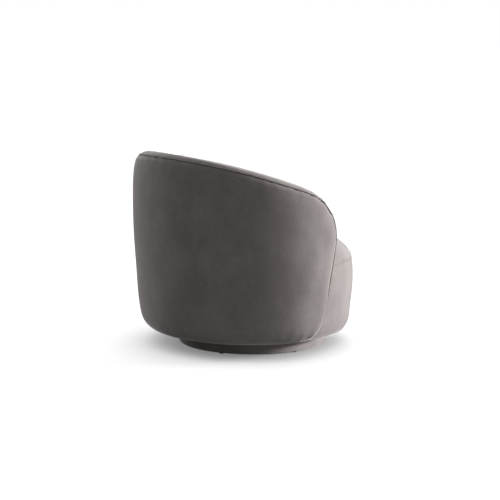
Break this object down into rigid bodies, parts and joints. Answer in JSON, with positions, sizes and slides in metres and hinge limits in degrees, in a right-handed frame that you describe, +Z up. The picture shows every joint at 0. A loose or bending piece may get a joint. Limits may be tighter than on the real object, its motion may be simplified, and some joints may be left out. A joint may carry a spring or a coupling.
{
  "type": "swivel tub chair",
  "caption": "Upholstered swivel tub chair: a round crowned seat drum wrapped by a low barrel back whose rim falls into short arms, turning on a recessed round plinth.",
  "frame": {"origin": "on the floor, under the middle of the chair's outline; the swivel axis stands 33.5 mm in front of it, towards -Y", "axes": "+Z up, +X towards the sitter's left; the sitter faces -Y"},
  "size_m": [0.8784, 0.8078, 0.718],
  "materials": {
    "velvet": "warm grey velvet",
    "plywood": "raw birch plywood",
    "steel": "zinc plated",
    "glide": "matt black",
    "webbing": "woven elastic",
    "foam": "open foam",
    "dust_cloth": "thin black nonwoven"
  },
  "bodies": {
    "base": {"plinth_glides": "glide", "plinth_hoop": "plywood", "plinth_cover": "velvet", "plinth_board": "plywood", "plinth_braces": "plywood", "swivel_lower_plate": "steel", "lower_plate_screws": "steel"},
    "chair": {"seat_cushion": "velvet", "seat_border": "velvet", "back_outer_panel": "velvet", "back_inner_panel": "velvet", "base_board": "plywood", "tub_low_rail": "plywood", "tub_mid_rail": "plywood", "tub_top_rail": "plywood", "tub_ribs": "plywood", "arm_posts": "plywood", "tub_outer_panel": "plywood", "tub_inner_panel": "plywood", "drum_ribs": "plywood", "platform_ring": "plywood", "drum_border_panel": "plywood", "swivel_upper_plate": "steel", "swivel_hub": "steel", "upper_plate_bolts": "steel", "tee_nuts": "steel", "frame_bolts": "steel", "seat_webbing": "webbing", "seat_core": "foam", "dust_cover": "dust_cloth"}
  },
  "joints": [
    {"name": "swivel", "type": "hinge", "parent": "base", "child": "chair", "pos_m": [0, -0.0335, 0.057], "axis": [0, 0, 1], "continuous": true}
  ]
}
